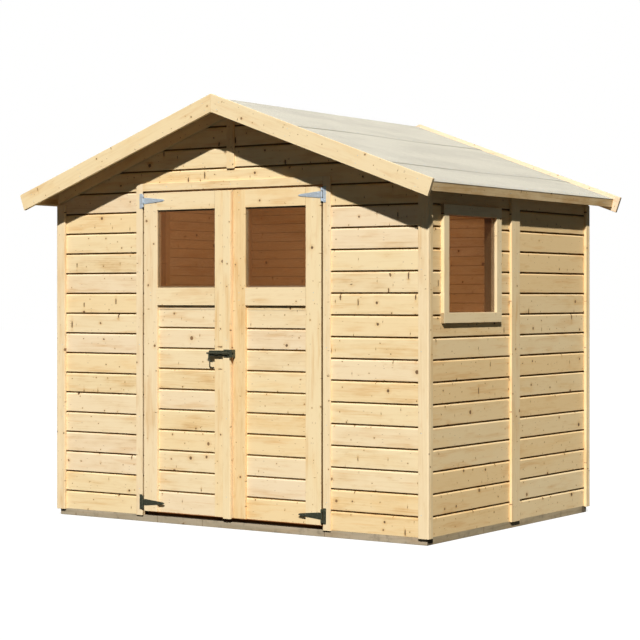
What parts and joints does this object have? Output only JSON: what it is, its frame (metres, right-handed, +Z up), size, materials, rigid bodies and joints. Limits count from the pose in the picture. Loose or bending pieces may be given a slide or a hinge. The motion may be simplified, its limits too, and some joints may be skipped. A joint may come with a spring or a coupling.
{
  "type": "garden shed",
  "caption": "Gable-front wooden garden shed with an outward-opening double door, a fixed side window, board walls and a shallow felted roof.",
  "frame": {"origin": "on the ground at the middle of the overall outline, roof overhangs included", "axes": "+Z up, the double door faces -Y, the side window faces +X, the ridge runs along Y"},
  "size_m": [2.7928, 2.2, 2.3728],
  "materials": {
    "spruce_boards": "planed softwood wall boards, untreated",
    "spruce_planed": "planed softwood trims and frames, untreated",
    "spruce_rough": "sawn softwood, untreated",
    "treated_timber": "pressure-treated timber, grey-brown",
    "roofing_felt": "light grey mineral surface",
    "galvanised_steel": "galvanised, dull",
    "window_pane": "clear pane"
  },
  "bodies": {
    "shed": {"cross_beams": "treated_timber", "side_beams": "treated_timber", "floor_joists": "treated_timber", "floor_boards": "spruce_rough", "front_wall_left": "spruce_boards", "front_wall_right": "spruce_boards", "front_gable": "spruce_boards", "rear_wall_left": "spruce_boards", "rear_wall_right": "spruce_boards", "left_wall_front": "spruce_boards", "left_wall_rear": "spruce_boards", "right_wall_lower": "spruce_boards", "right_wall_upper": "spruce_boards", "right_wall_piers": "spruce_boards", "right_wall_rear": "spruce_boards", "window_rails": "spruce_planed", "window_stiles": "spruce_planed", "window_glass": "window_pane", "corner_trims": "spruce_planed", "corner_returns": "spruce_planed", "wall_battens": "spruce_planed", "door_casings": "spruce_planed", "head_casing": "spruce_planed", "wall_posts": "spruce_rough", "door_posts": "spruce_rough", "eave_plates": "spruce_rough", "door_lintel": "spruce_rough", "window_trimmers": "spruce_rough", "purlins": "spruce_rough", "roof_deck_left": "spruce_rough", "roof_deck_right": "spruce_rough", "roof_felt_left": "roofing_felt", "roof_felt_right": "roofing_felt", "eave_fascias": "spruce_planed", "front_bargeboards": "spruce_planed", "rear_bargeboards": "spruce_planed", "rake_battens": "spruce_rough", "hinge_plates": "galvanised_steel"},
    "left_door": {"left_door_stiles": "spruce_planed", "left_door_rails": "spruce_planed", "left_door_panel": "spruce_boards", "left_door_glass": "window_pane", "left_door_astragal": "spruce_planed", "left_door_straps": "galvanised_steel", "bolt_plate": "galvanised_steel"},
    "right_door": {"right_door_stiles": "spruce_planed", "right_door_rails": "spruce_planed", "right_door_panel": "spruce_boards", "right_door_glass": "window_pane", "right_door_straps": "galvanised_steel", "bolt_keeper": "galvanised_steel"},
    "bolt": {"bolt_rod": "galvanised_steel"}
  },
  "joints": [
    {"name": "left_door_hinge", "type": "hinge", "parent": "shed", "child": "left_door", "pos_m": [-0.61675, -0.9255, 0.964], "axis": [0, 0, -1], "range_deg": [0, 120]},
    {"name": "right_door_hinge", "type": "hinge", "parent": "shed", "child": "right_door", "pos_m": [0.60675, -0.9255, 0.964], "axis": [0, 0, 1], "range_deg": [0, 120]},
    {"name": "bolt_slide", "type": "slide", "parent": "left_door", "child": "bolt", "axis": [1, 0, 0], "range_m": [0, 0.028]}
  ]
}
